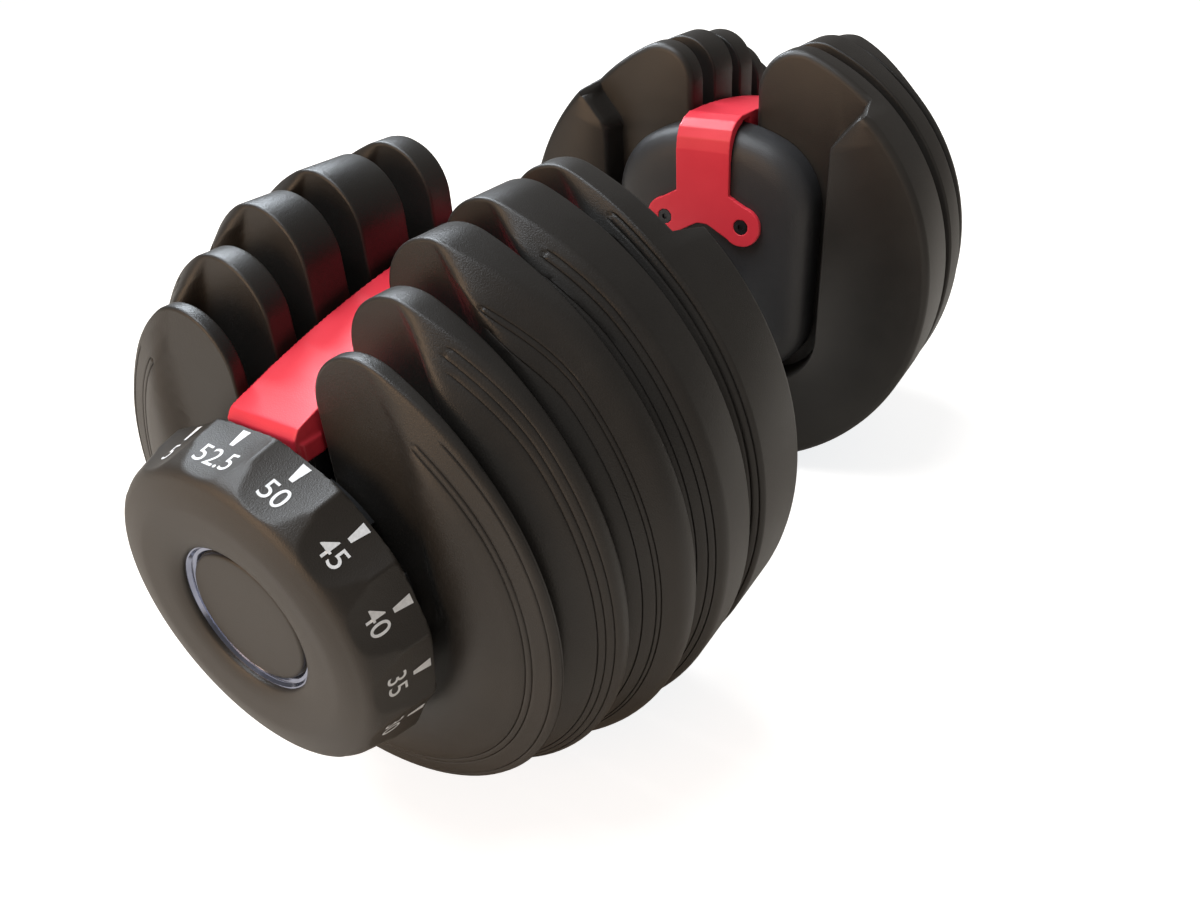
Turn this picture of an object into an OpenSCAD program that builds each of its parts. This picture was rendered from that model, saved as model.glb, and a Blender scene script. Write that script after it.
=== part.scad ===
// Adjustable dumbbell with a weight dial at each end.
// X runs along the handle, Y across it and Z up. The origin is on the floor
// under the middle of the grip. One end is drawn towards +X, and the other is
// the same end turned half a turn about Z.

/* [Handle] */
// Clear width between the two innermost plates, where the hand goes
hand_gap = 137; // [130:1:150]
// Diameter of the rubber grip at its middle
grip_d = 36; // [30:0.5:42]
// Diameter of the rubber grip at its two ends
grip_end_d = 31; // [28:0.5:40]
// Outside diameter of the steel tube under the rubber
grip_tube_d = 22; // [18:0.5:24]
// Diameter of the steel axle that runs from end to end
axle_d = 12; // [10:0.5:13]
// Radial running clearance of everything that turns on a shaft
run_gap = 0.05; // [0.03:0.01:0.09]
// Thickness of the nuts behind the housings' front walls
inner_nut_t = 4; // [3:0.5:4.5]
// Width across the flats of the nuts behind the housings' front walls
inner_nut_w = 19; // [17:0.5:20]
// Thickness of the nuts inside the dials
end_nut_t = 5; // [4:0.5:6]
// Width across the flats of the nuts inside the dials
end_nut_w = 18; // [17:0.5:20]
// Thickness of the washers under the nuts inside the dials
washer_t = 1.2; // [1:0.1:1.6]
// Outside diameter of the washers under the nuts inside the dials
washer_d = 21; // [19:0.5:24]

/* [Plates] */
// Diameter of plate 1, the innermost and heaviest
plate_1_d = 203.2; // [202:0.2:206]
// Thickness of plate 1 at its cheeks
plate_1_t = 32.5; // [30:0.1:36]
// Thickness of plate 1 at its horns, from the hand side
plate_1_horn_t = 24.5; // [22:0.1:26]
// Width of plate 1's straight rim, from the hand side
plate_1_land = 26.5; // [20:0.5:28]
// How much plate 1's radius falls from the straight rim to the cheeks
plate_1_fall = 9.6; // [6:0.2:14]
// How much less plate 2 measures across than plate 1
plate_2_less = 0.8; // [0.4:0.2:6]
// Thickness of plate 2 at its cheeks
plate_2_t = 23.8; // [22.8:0.1:26]
// Thickness of plate 2 at its horns
plate_2_horn_t = 18.9; // [16:0.1:19]
// Width of plate 2's straight rim, from the hand side
plate_2_land = 15; // [8:0.5:18]
// How much plate 2's radius falls from the straight rim to the cheeks
plate_2_fall = 9.2; // [6:0.2:14]
// How much less plate 3 measures across than plate 1
plate_3_less = 6.8; // [4:0.2:12]
// Thickness of plate 3 at its cheeks
plate_3_t = 18.1; // [17.4:0.1:21]
// Thickness of plate 3 at its horns
plate_3_horn_t = 14; // [11:0.1:14.6]
// Width of plate 3's straight rim, from the hand side
plate_3_land = 5; // [2:0.5:8]
// How much plate 3's radius falls from the straight rim to the cheeks
plate_3_fall = 13.2; // [8:0.2:16]
// How much less plate 4 measures across than plate 1
plate_4_less = 23.2; // [18:0.2:28]
// Thickness of plate 4 at its cheeks
plate_4_t = 15; // [13:0.1:17]
// Thickness of plate 4 at its horns
plate_4_horn_t = 8.3; // [7:0.1:9.5]
// Width of plate 4's straight rim, from the hand side
plate_4_land = 3.5; // [2:0.5:6]
// How much plate 4's radius falls from the straight rim to the cheeks
plate_4_fall = 13; // [8:0.2:16]
// How much less plate 5, the outermost and lightest, measures across than plate 1
plate_5_less = 39.6; // [34:0.2:44]
// Thickness of plate 5 at its cheeks
plate_5_t = 7.7; // [7:0.1:9]
// Thickness of plate 5 at its horns
plate_5_horn_t = 4.4; // [4:0.1:5]
// Width of plate 5's straight rim, from the hand side
plate_5_land = 2.2; // [1.6:0.1:3]
// How much plate 5's radius falls from the straight rim to the cheeks
plate_5_fall = 24.8; // [20:0.2:30]
// Gap between the cheeks of neighbouring plates
plate_gap = 3.6; // [2.4:0.1:5]
// Width of the slot that the handle drops into
slot_w = 31; // [30:0.2:34]
// Radius of the round horn tips beside the slot
horn_r = 17; // [12:0.5:18]
// Radius of the curve in which a horn's outer side leans in to its tip
horn_side_r = 60; // [52:1:70]
// How far below the top of its plate a horn's outer side starts to lean in
horn_bend = 42; // [36:1:50]
// Width of the flat floor of the channel on the dial side of a plate
channel_w = 89; // [87:0.5:92]
// Sideways run of the channel's sloping walls
channel_slope = 8.5; // [6:0.5:10]
// Depth of the hand-side recess in plate 1
recess_depth = 13.5; // [12:0.1:15]
// Gap between the housing's sides and the recess that it stands in
recess_gap = 5.5; // [4:0.1:7]
// Radius of the recess's lower corners
recess_corner = 26; // [22:1:30]
// Height above the axle where the recess's sides start to lean outwards
recess_flare_z = 61; // [55:1:66]
// Half the width of the recess where it leaves the rim of plate 1
recess_rim_y = 67; // [63:0.5:71]
// Chamfer on the hand-side edge of each rim
rim_chamfer = 0.6; // [0.4:0.1:0.6]
// Gap between plate 5's cheeks and the dial
dial_gap = 6; // [4:0.1:8]
// Width of the flat under the two largest plates, which the dumbbell stands on
foot_flat_w = 31; // [24:1:40]
// Wall of a plate's moulded shell, thinner where the horns are thin
shell_wall = 2.5; // [2:0.1:3]
// Thickness of the steel in plate 2
core_2_t = 17.5; // [16:0.1:19]
// Thickness of the steel in plate 3
core_3_t = 4.2; // [4:0.1:6]
// Thickness of the steel in plate 4
core_4_t = 7; // [5:0.1:7]
// Thickness of the steel in plate 5
core_5_t = 4.5; // [3:0.1:5]
// Free play of a plate on the handle, up
play_up = 0.6; // [0.4:0.1:0.9]
// Free play of a plate on the handle, down
play_down = 0.3; // [0.2:0.05:0.5]

/* [Selector] */
// Diameter of the selector discs between the plates
disc_d = 81; // [76:0.5:82]
// Thickness of a selector disc's web
disc_web_t = 2.4; // [2:0.1:2.6]
// Inner radius of the lifting rim on a selector disc
rim_in_r = 34; // [32:0.5:35]
// Radial thickness of the lifting rim
rim_t = 4.5; // [3.5:0.1:5]
// End clearance of a selector disc in the gap between two plates
disc_side_gap = 0.8; // [0.5:0.1:1]
// Outside diameter of the turning sleeve that carries the discs
sleeve_d = 19; // [18:0.5:19.5]
// Height of the sleeve's driving key
key_h = 1.5; // [1:0.1:1.8]
// Width of the sleeve's driving key
key_w = 4; // [3:0.1:5]
// Width of the lifting peg on a plate
peg_w = 7; // [5:0.1:8]
// Height of the lifting peg on a plate
peg_h = 4.5; // [3.5:0.1:6]
// Diameter of the index wheel inside the housing
index_d = 48; // [44:1:50]
// Thickness of the index wheel
index_t = 5; // [4:0.1:5.4]
// Diameter of the detent plunger under the index wheel
detent_d = 5; // [4:0.1:6]
// Length of the detent plunger
detent_l = 12; // [10:0.5:13]
// How far the index wheel can push the detent plunger down
detent_travel = 1.5; // [1:0.1:2]

/* [Housing and bridge] */
// Width of the housing between the grip and the plates
housing_w = 97; // [94:0.5:99]
// Height of the housing's crown above the axle
housing_top = 66; // [64:0.5:67]
// Depth of the housing's flat bottom below the axle
housing_bottom = 47; // [45:0.5:48]
// Radius of the housing's arched crown
crown_r = 72; // [66:1:84]
// Radius of the housing's upper corners
top_corner = 32; // [28:0.5:34]
// Radius of the housing's lower corners
low_corner = 25; // [22:0.5:28]
// How far the housing stands out of plate 1 towards the grip
housing_proud = 4.5; // [3:0.1:6]
// Wall of the housing
housing_wall = 3; // [2.5:0.1:3.5]
// Thickness of the steel bulkhead that closes the housing
bulkhead_t = 3; // [2.5:0.1:3.5]
// Width of the red bridge over the discs
bridge_w = 25.6; // [24:0.2:27]
// Wall of the red bridge
bridge_wall = 3; // [2.4:0.1:3.4]
// Height of the bridge's top above the axle at the dial end
bridge_low = 50.6; // [49:0.2:52]
// Height of the bridge's top above the axle at the housing
bridge_high = 69.6; // [69:0.2:71]
// Half the distance between the two screws in the bridge's foot
foot_screw_y = 19; // [17:0.5:21]
// Height of the two foot screws above the axle
foot_screw_z = 25; // [23:0.5:27]
// Diameter of the foot screws
foot_screw_d = 3.6; // [3:0.1:3.6]
// Diameter of the foot screws' heads
foot_screw_head_d = 6.4; // [5.6:0.1:6.6]
// Thickness of the foot screws' heads
foot_screw_head_t = 1.3; // [1.1:0.1:1.3]

/* [Dial] */
// Diameter of the dial at its back edge
dial_d = 104; // [100:0.5:108]
// Thickness of the dial
dial_t = 20.6; // [19:0.1:22]
// Wall of the dial
dial_wall = 3; // [2.5:0.1:3.5]
// Number of weight settings round the dial
settings = 15; // [15:1:15]
// Depth of the finger hollow behind each number
hollow_depth = 1.7; // [1:0.1:1.9]
// Diameter of the round well in the dial's face
well_d = 46.8; // [45:0.2:48]
// Diameter of the cap in the middle of the well
cap_d = 41; // [38:0.2:43]

/* [Hidden] */
$fn = 96;

charcoal = [0.13, 0.13, 0.13];
slate = [0.2, 0.21, 0.22];
red = [0.86, 0.16, 0.2];
steel = [0.66, 0.67, 0.69];
silver = [0.85, 0.86, 0.88];
nylon = [0.16, 0.16, 0.17];
rubber = [0.09, 0.09, 0.09];

// Plate sizes by number, 1 at the hand and 5 at the dial
plate_r = [for (less = [0, plate_2_less, plate_3_less, plate_4_less, plate_5_less])
    (plate_1_d - less) / 2];
fall = [plate_1_fall, plate_2_fall, plate_3_fall, plate_4_fall, plate_5_fall];
land = [plate_1_land, plate_2_land, plate_3_land, plate_4_land, plate_5_land];
plate_t = [plate_1_t, plate_2_t, plate_3_t, plate_4_t, plate_5_t];
horn_t = [plate_1_horn_t, plate_2_horn_t, plate_3_horn_t, plate_4_horn_t, plate_5_horn_t];
plates = len(plate_r);
// Hand-side face of each plate, then the dial's back face
function stack(n) = n == 0 ? hand_gap / 2 : stack(n - 1) + plate_t[n - 1] + plate_gap;
back = [for (n = [0 : plates - 1]) stack(n), stack(plates) - plate_gap + dial_gap];
horn_face = [for (n = [0 : plates - 1]) back[n] + horn_t[n]];
dial_back = back[plates];
wall = [for (t = horn_t) min(shell_wall, t / 3.6)];
// A thin gap all round a steel core inside its moulded shell
core_gap = 0.1;
// Plate 1's shell is filled with steel, and the others hold a steel disc
core_t = [plate_1_t, core_2_t, core_3_t, core_4_t, core_5_t];

// Height of the axle above the floor
axle_z = sqrt(pow(plate_1_d / 2, 2) - pow(foot_flat_w / 2, 2));

// Weight in pounds that each plate adds to a side, and at each dial setting
plate_lb = [10, 7.5, 2.5, 2.5, 1.25];
side_lb = [0, 1.25, 2.5, 3.75, 5, 6.25, 7.5, 8.75, 10, 12.5, 15, 17.5, 20, 22.5, 23.75];
pitch = 360 / settings;
// The heaviest plate that still fits is always taken first
function left_over(n, s) = n == 0 ? side_lb[s]
    : left_over(n - 1, s) - (holds(n - 1, s) ? plate_lb[n - 1] : 0);
function holds(n, s) = left_over(n, s) >= plate_lb[n];

axle_r = axle_d / 2;
sleeve_r = sleeve_d / 2;
key_r = sleeve_r + key_h;
spacer_bore_r = key_r + 0.4;
spacer_r = slot_w / 2 - play_up - 0.1;
// A peg hangs just inside the lifting rim
peg_low = sqrt(pow(rim_in_r - 0.05, 2) - pow(peg_w / 2, 2)) - play_down;

housing_face = hand_gap / 2 - housing_proud;
recess_floor = back[0] + recess_depth;
housing_back = recess_floor - 0.5;
bulkhead_front = housing_back - bulkhead_t;
index_back = bulkhead_front - 1.5;
index_front = index_back - index_t;
detent_x = (index_front + index_back) / 2;
detent_top = index_d / 2 + 0.2;
notch_r = 3;

sleeve_end = dial_back + 4.5;
dial_front = dial_back + dial_t;
well_floor = dial_front - 5.2;

// ---- Helpers -------------------------------------------------------------

module bar(x0, x1, r) {
    translate([x0, 0, 0]) rotate([0, 90, 0]) cylinder(h = x1 - x0, r = r);
}

module tube(x0, x1, r_out, r_in) {
    difference() {
        bar(x0, x1, r_out);
        bar(x0 - 1, x1 + 1, r_in);
    }
}

// A flat outline in Y and Z, made solid from x0 to x1
module slab_x(x0, x1) {
    translate([x0, 0, 0]) rotate([90, 0, 90]) linear_extrude(x1 - x0) children();
}

// A flat outline in X and Z, made solid across the middle
module slab_y(w) {
    translate([0, w / 2, 0]) rotate([90, 0, 0]) linear_extrude(w) children();
}

// An outline of radius and distance along X, turned about X
module turned(angle = 360) {
    rotate([0, 90, 0]) rotate_extrude(angle = angle) children();
}

module box(x0, x1, w, z0, z1) {
    translate([x0, -w / 2, z0]) cube([x1 - x0, w, z1 - z0]);
}

module hexagon(x0, x1, across) {
    translate([x0, 0, 0]) rotate([0, 90, 0]) cylinder(h = x1 - x0, d = across / cos(30), $fn = 6);
}

module both_ends() {
    children();
    rotate([0, 0, 180]) children();
}

module raised() {
    translate([0, 0, axle_z]) children();
}

// ---- Plates --------------------------------------------------------------

// A round plate whose rim slopes in towards the dial, drawn inset by a wall
function rim_slope(n) = fall[n] / (plate_t[n] - land[n]);
function rim_at(n, inset, x) =
    min(plate_r[n] - inset, plate_r[n] - inset * norm([1, rim_slope(n)])
        - rim_slope(n) * (x - back[n] - land[n]));
module blank(n, inset) {
    x0 = back[n] + inset;
    x1 = back[n] + plate_t[n] - inset;
    edge = x0 + rim_chamfer;
    bend = back[n] + land[n] - inset * (norm([1, rim_slope(n)]) - 1) / rim_slope(n);
    turned() polygon(concat(
        [[0, x0], [rim_at(n, inset, x0) - rim_chamfer, x0], [rim_at(n, inset, edge), edge]],
        [for (x = [bend]) if (x > edge) [rim_at(n, inset, x), x]],
        [[rim_at(n, inset, x1), x1], [0, x1]]));
}

// The two flat horns keep the full radius of the plate, and their outer sides
// curve in from the channel's walls to the tips
module horns(n, inset) {
    x0 = back[n] + inset;
    x1 = horn_face[n] - inset;
    bend_z = plate_r[n] - horn_bend;
    side_y = horn_side_r - channel_w / 2;
    intersection() {
        bar(x0, x1, plate_r[n] - inset);
        union() {
            box(x0, x1, channel_w - 2 * inset, 0, bend_z);
            intersection() {
                translate([0, side_y, bend_z]) bar(x0, x1, horn_side_r - inset);
                translate([0, -side_y, bend_z]) bar(x0, x1, horn_side_r - inset);
            }
        }
    }
}

// The slot for the handle, with the horns' round tips left standing. A tip's
// circle crosses the rim a little instead of only touching it.
tip_over = 0.15;
module slot(n, inset) {
    r = plate_r[n] - inset + tip_over;
    half = slot_w / 2 + inset;
    tip_r = horn_r - inset;
    tip_y = half + tip_r;
    tip_z = sqrt(pow(r - tip_r, 2) - pow(tip_y, 2));
    reach = r / (r - tip_r);
    x0 = back[n] - 1;
    x1 = back[n] + plate_t[n] + 1;
    difference() {
        union() {
            bar(x0, x1, half);
            slab_x(x0, x1) polygon([[half, 0], [half, tip_z], [tip_y, tip_z],
                [tip_y * reach, tip_z * reach], [tip_y * reach, r + 5],
                [-tip_y * reach, r + 5], [-tip_y * reach, tip_z * reach],
                [-tip_y, tip_z], [-half, tip_z], [-half, 0]]);
        }
        for (side = [-1, 1])
            translate([0, side * tip_y, tip_z]) bar(x0 - 1, x1 + 1, tip_r);
    }
}

// The wide channel on the dial side, where a selector disc turns
module channel(n, inset) {
    floor_x = horn_face[n] - inset;
    top_x = back[n] + plate_t[n] + 1;
    slope = channel_slope / (back[n] + plate_t[n] - horn_face[n]);
    half = channel_w / 2 + inset * 0.6;
    half_top = half + slope * (top_x - floor_x);
    linear_extrude(plate_r[n] + 5)
        polygon([[floor_x, -half], [top_x, -half_top], [top_x, half_top], [floor_x, half]]);
    turned() polygon([[0, floor_x], [half, floor_x], [half_top, top_x], [0, top_x]]);
}

// The hand-side recess in plate 1, where the housing sits. Its sides lean
// outwards through the rim and end well beyond it.
module recess(inset) {
    half = housing_w / 2 + recess_gap + inset;
    low = housing_bottom + recess_gap - 1 + inset;
    x0 = back[0] - 1;
    x1 = recess_floor + inset;
    rim_z = sqrt(pow(plate_r[0], 2) - pow(recess_rim_y, 2));
    end_y = 3 * (recess_rim_y + inset) - 2 * half;
    end_z = 3 * rim_z - 2 * recess_flare_z;
    slab_x(x0, x1) polygon([[half, -low + recess_corner], [half, recess_flare_z],
        [end_y, end_z], [-end_y, end_z], [-half, recess_flare_z],
        [-half, -low + recess_corner], [-half + recess_corner, -low],
        [half - recess_corner, -low]]);
    for (side = [-1, 1])
        translate([0, side * (half - recess_corner), -low + recess_corner])
            bar(x0, x1, recess_corner);
}

module floor_cut(n, inset) {
    box(back[n] - 1, back[n] + plate_t[n] + 1, 2 * plate_r[n], -plate_r[n] - 2, -axle_z + inset);
}

module plate_body(n, inset) {
    difference() {
        union() {
            difference() {
                blank(n, inset);
                channel(n, inset);
            }
            horns(n, inset);
        }
        slot(n, inset);
        if (n == 0) recess(inset);
        if (plate_r[n] - inset > axle_z - inset) floor_cut(n, inset);
    }
}

// Steel that fills a plate's shell, or a sheet behind its hand-side wall
module core_body(n, inset) {
    x0 = back[n] + inset;
    intersection() {
        plate_body(n, inset);
        box(x0 - 1, x0 + core_t[n] - 2 * (inset - wall[n]), 2 * plate_r[n],
            -plate_r[n], plate_r[n]);
    }
}

// The peg that a selector disc lifts a plate by
peg_root = 1;
function peg_end(n) = back[n + 1] - disc_side_gap - disc_web_t - 0.5;
module peg(n, gap) {
    root = horn_face[n] - wall[n] - peg_root;
    translate([0, 0, -peg_low - gap])
        box(root, peg_end(n), peg_w + 2 * gap, 0, peg_h + 2 * gap);
}

module plate_shell(n) {
    color(charcoal) difference() {
        plate_body(n, 0);
        core_body(n, wall[n]);
        peg(n, core_gap);
        // Room for the peg's root in a plate that only holds a sheet
        if (core_front(n) < horn_face[n] - wall[n])
            box(core_front(n) - 0.5, horn_face[n] - wall[n], peg_w + 2 * core_gap,
                -peg_low - core_gap, -peg_low + peg_h + core_gap);
    }
}

// Hand side of the peg's root, behind the horns' own wall
function core_front(n) = min(back[n] + wall[n] + core_t[n], horn_face[n] - wall[n]);
module plate_core(n) {
    color(steel) union() {
        core_body(n, wall[n] + core_gap);
        peg(n, 0);
        box(core_front(n) - core_gap - 0.5, horn_face[n] - wall[n], peg_w,
            -peg_low, -peg_low + peg_h);
    }
}

// ---- Selector ------------------------------------------------------------

module keyway(x0, x1, gap) {
    box(x0, x1, key_w + 2 * gap, 0, key_r + gap);
}

// One disc: a web, a hub and a lifting rim at each setting that takes its
// plate along. The first setting takes none, and the last is at the pegs when
// the dial is at rest.
module disc(n) {
    x0 = horn_face[n] + disc_side_gap;
    x1 = back[n + 1] - disc_side_gap;
    web = x1 - disc_web_t;
    color(nylon) difference() {
        union() {
            bar(web, x1, disc_d / 2);
            bar(x0, x1, key_r + 3);
            for (s = [1 : settings - 1])
                if (holds(n, s) && !holds(n, s - 1))
                    lifting_rim(s, run_held(n, s), x0, web + disc_web_t / 2);
        }
        bar(x0 - 1, x1 + 1, sleeve_r + run_gap);
        keyway(x0 - 1, x1 + 1, run_gap);
    }
}

// Settings side by side share one stretch of rim
function run_held(n, s) = s == settings || !holds(n, s) ? 0 : 1 + run_held(n, s + 1);
module lifting_rim(s, count, x0, x1) {
    rotate([(s + 0.5) * pitch, 0, 0])
        turned(count * pitch) translate([rim_in_r, x0]) square([rim_t, x1 - x0]);
}

module sleeve() {
    color(nylon) difference() {
        union() {
            bar(index_front, sleeve_end, sleeve_r);
            bar(index_front, index_back, index_d / 2);
            keyway(index_back, sleeve_end, 0);
        }
        bar(index_front - 1, sleeve_end + 1, axle_r + run_gap);
        for (s = [0 : settings - 1])
            rotate([s * pitch, 0, 0]) translate([0, 0, -index_d / 2 - 0.6])
                bar(index_front - 1, index_back + 1, notch_r);
    }
}

// Fixed blocks round the sleeve that fill the plates' slots
module spacers() {
    stem_w = bridge_w - 2 * bridge_wall - 0.8;
    color(slate)
        for (n = [0 : plates - 1]) {
            x0 = n == 0 ? recess_floor : back[n] + 0.1;
            x1 = horn_face[n] - 0.1;
            difference() {
                union() {
                    bar(x0, x1, spacer_r);
                    box(x0, x1, stem_w, 0, bridge_top(x1) - bridge_wall - 0.4);
                }
                bar(x0 - 1, x1 + 1, spacer_bore_r);
            }
        }
}

module detent_plunger() {
    tip = 0.8;
    color(steel) translate([detent_x, 0, -detent_top]) rotate([180, 0, 0])
        rotate_extrude() polygon([[0, 0], [detent_d / 2 - tip, 0], [detent_d / 2, tip],
            [detent_d / 2, detent_l], [0, detent_l]]);
}

// A wire wound round a circle, as rings of points joined by bands
spring_wire = 0.7;
spring_turns = 4;
spring_steps = 14;
spring_sides = 6;
spring_low = housing_bottom - housing_wall;
spring_high = detent_top + detent_l;
function spring_point(i, j) =
    let (turn = i / spring_steps, a = 360 * turn, b = 360 * j / spring_sides,
        r = detent_d / 2 - spring_wire / 2 - 0.05 + spring_wire / 2 * cos(b),
        rise = (spring_low - spring_high - spring_wire - 0.1) * turn / spring_turns)
    [r * cos(a), r * sin(a), rise + spring_wire / 2 * sin(b)];
module detent_spring() {
    rings = spring_turns * spring_steps;
    points = [for (i = [0 : rings]) for (j = [0 : spring_sides - 1]) spring_point(i, j)];
    bands = [for (i = [0 : rings - 1]) for (j = [0 : spring_sides - 1])
        let (k = (j + 1) % spring_sides, m = i * spring_sides)
        [m + j, m + k, m + spring_sides + k, m + spring_sides + j]];
    first = [for (j = [spring_sides - 1 : -1 : 0]) j];
    last = [for (j = [0 : spring_sides - 1]) rings * spring_sides + j];
    color(steel) translate([detent_x, 0, -spring_low + spring_wire / 2 + 0.05])
        polyhedron(points, concat([first], bands, [last]));
}

// ---- Housing and bridge --------------------------------------------------

// The housing's outline: straight sides, round corners and an arched crown
function arc_points(y, z, r, a0, a1, steps) =
    [for (i = [0 : steps]) let (a = a0 + (a1 - a0) * i / steps) [y + r * cos(a), z + r * sin(a)]];
function half_outline(inset) =
    let (half = housing_w / 2 - inset, arch_z = housing_top - crown_r,
        top_r = top_corner - inset, low_r = low_corner - inset, arch_r = crown_r - inset,
        corner_z = arch_z + sqrt(pow(arch_r - top_r, 2) - pow(half - top_r, 2)),
        lean = atan2(corner_z - arch_z, half - top_r))
    concat(arc_points(half - low_r, -housing_bottom + inset + low_r, low_r, -90, 0, 7),
        arc_points(half - top_r, corner_z, top_r, 0, lean, 7),
        [for (i = [1 : 5]) arc_points(0, arch_z, arch_r, lean, 90, 5)[i]]);
module housing_outline(inset) {
    right = half_outline(inset);
    polygon(concat(right, [for (i = [len(right) - 2 : -1 : 0]) [-right[i][0], right[i][1]]]));
}

// Soft edge of the housing: distance from the face, and inset of the outline
soft_edge = [[0, 14], [0.9, 9], [3, 4.5], [6, 1.5], [10, 0]];

// The hollow behind the housing's front wall
module housing_hollow(x0, x1, inset) {
    half = housing_w / 2 - inset;
    low = housing_bottom - inset;
    high = housing_top - inset - 7.5;
    r = 22;
    slab_x(x0, x1) {
        translate([-half, -low + r]) square([2 * half, high + low - 2 * r]);
        translate([-half + r, -low]) square([2 * (half - r), high + low]);
        for (side = [-1, 1]) for (z = [-low + r, high - r])
            translate([side * (half - r), z]) circle(r);
    }
}

module housing() {
    front = housing_face + housing_wall;
    boss_r = detent_d / 2 + 2.5;
    boss_top = detent_top + 3.5;
    color(slate) difference() {
        union() {
            difference() {
                hull() {
                    for (e = soft_edge)
                        slab_x(housing_face + e[0], housing_face + e[0] + 0.01)
                            housing_outline(e[1]);
                    slab_x(housing_back - 0.01, housing_back) housing_outline(0);
                }
                housing_hollow(front, front + 4, housing_wall + 5);
                housing_hollow(front + 3.5, housing_back + 1, housing_wall + 1.5);
            }
            // A boss guides the detent plunger
            translate([detent_x, 0, -housing_bottom + 1])
                cylinder(h = housing_bottom - 1 - boss_top, r = boss_r);
            // Two bosses take the bridge's foot screws
            for (side = [-1, 1]) translate([0, side * foot_screw_y, foot_screw_z])
                bar(front - 0.5, front + 7, 4.5);
        }
        bar(housing_face - 1, front + 1, axle_r + run_gap);
        translate([detent_x, 0, -housing_bottom + housing_wall])
            cylinder(h = housing_bottom, r = detent_d / 2 + run_gap);
        for (side = [-1, 1]) translate([0, side * foot_screw_y, foot_screw_z])
            bar(housing_face - 1, front + 6, foot_screw_d / 2 + 0.1);
        // A step seats the bulkhead
        housing_hollow(bulkhead_front, housing_back + 1, housing_wall);
    }
}

module bulkhead() {
    color(steel) difference() {
        housing_hollow(bulkhead_front, housing_back, housing_wall + 0.1);
        bar(bulkhead_front - 1, housing_back + 1, key_r + 0.6);
    }
}

// The bridge's top follows one large arc from the dial end to the housing
bridge_end = dial_back - 2.5;
bridge_start = housing_face + 10;
bridge_mid_rise = 4.6;
function bridge_top(x) =
    let (t = (bridge_end - x) / (bridge_end - bridge_start))
    bridge_low + (bridge_high - bridge_low) * t + 4 * bridge_mid_rise * t * (1 - t);
function top_line(drop, x0, x1, steps) =
    [for (i = [0 : steps]) let (x = x0 + (x1 - x0) * i / steps) [x, bridge_top(x) - drop]];
bridge_skirt = disc_d / 2 + 1.2;
strap_t = 2.4;
foot_face = housing_face - strap_t;
// The strap lies on the housing's soft edge and ends at the foot
strap_line = [for (i = [4 : -1 : 0])
    [housing_face + soft_edge[i][0], housing_top - soft_edge[i][1]]];

module bridge_channel() {
    chamfer = 2;
    inner = bridge_w - 2 * bridge_wall;
    x0 = bridge_start + 8;
    difference() {
        slab_y(bridge_w) polygon(concat(
            [[bridge_end, bridge_skirt], [bridge_end, bridge_low - chamfer]],
            top_line(0, bridge_end - chamfer, bridge_start, 14),
            [[bridge_start, bridge_high - strap_t], [x0, bridge_high - strap_t],
                [x0, bridge_skirt]]));
        slab_y(inner) polygon(concat(
            [[bridge_end - bridge_wall, bridge_skirt - 1]],
            top_line(bridge_wall, bridge_end - bridge_wall, x0 - 1, 12),
            [[x0 - 1, bridge_skirt - 1]]));
        // The skirt rises to clear the housing
        box(0, housing_back + 0.4, 2 * bridge_w, 0, housing_top + 0.5);
    }
}

module bridge_lugs() {
    lug_w = 1.5;
    lug_l = 7;
    for (side = [-1, 1])
        translate([bridge_end - 1.5 - lug_l, side * (bridge_w + lug_w) / 2 - lug_w / 2 * side, 0])
            translate([0, -lug_w / 2, bridge_skirt]) cube([lug_l, lug_w, 5.5]);
}

module bridge_strap() {
    gap = 0.15;
    inner = [for (p = strap_line) [p[0] - gap, p[1] + gap]];
    foot_top = foot_screw_z + 8;
    slab_y(bridge_w) polygon(concat(
        [[bridge_start + 1, bridge_high - strap_t], inner[0]],
        [for (i = [1 : 4]) inner[i]],
        [[housing_face, foot_top], [foot_face, foot_top],
            [foot_face, housing_top - 9.5], [foot_face + 0.8, housing_top - 4.5],
            [foot_face + 3, housing_top - 0.4], [foot_face + 7, housing_top + 2.2],
            [bridge_start, bridge_high], [bridge_start + 1, bridge_high]]));
}

// Two round-ended arms spread from the strap to the screws
module foot_outline() {
    arm_r = 9;
    arm_half = 8.6;
    spread = 6;
    arm_top = 7;
    arm_l = norm([foot_screw_y - spread, arm_top]);
    tilt = atan2(arm_top, foot_screw_y - spread);
    for (side = [-1, 1]) {
        translate([side * foot_screw_y, foot_screw_z]) circle(arm_r);
        translate([side * spread, foot_screw_z + arm_top]) rotate(side > 0 ? -tilt : 180 + tilt)
            translate([0, -arm_half]) square([arm_l, 2 * arm_half]);
    }
    translate([-bridge_w / 2, foot_screw_z + arm_top - 8]) square([bridge_w, 14]);
}

module bridge() {
    color(red) difference() {
        union() {
            bridge_channel();
            bridge_lugs();
            bridge_strap();
            slab_x(foot_face, housing_face) foot_outline();
        }
        for (side = [-1, 1]) translate([0, side * foot_screw_y, foot_screw_z]) {
            bar(foot_face - 1, housing_face + 1, foot_screw_d / 2 + 0.2);
            bar(foot_face - 1, foot_face + foot_screw_head_t + 0.1,
                foot_screw_head_d / 2 + 0.2);
        }
    }
}

module bridge_screw() {
    head_x = foot_face + 0.1;
    color(steel) difference() {
        union() {
            bar(head_x, head_x + foot_screw_head_t, foot_screw_head_d / 2);
            bar(head_x + foot_screw_head_t / 2, housing_face + housing_wall + 5,
                foot_screw_d / 2);
        }
        hexagon(foot_face, head_x + 0.8, 2.5);
    }
}

// ---- Dial ----------------------------------------------------------------

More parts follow.
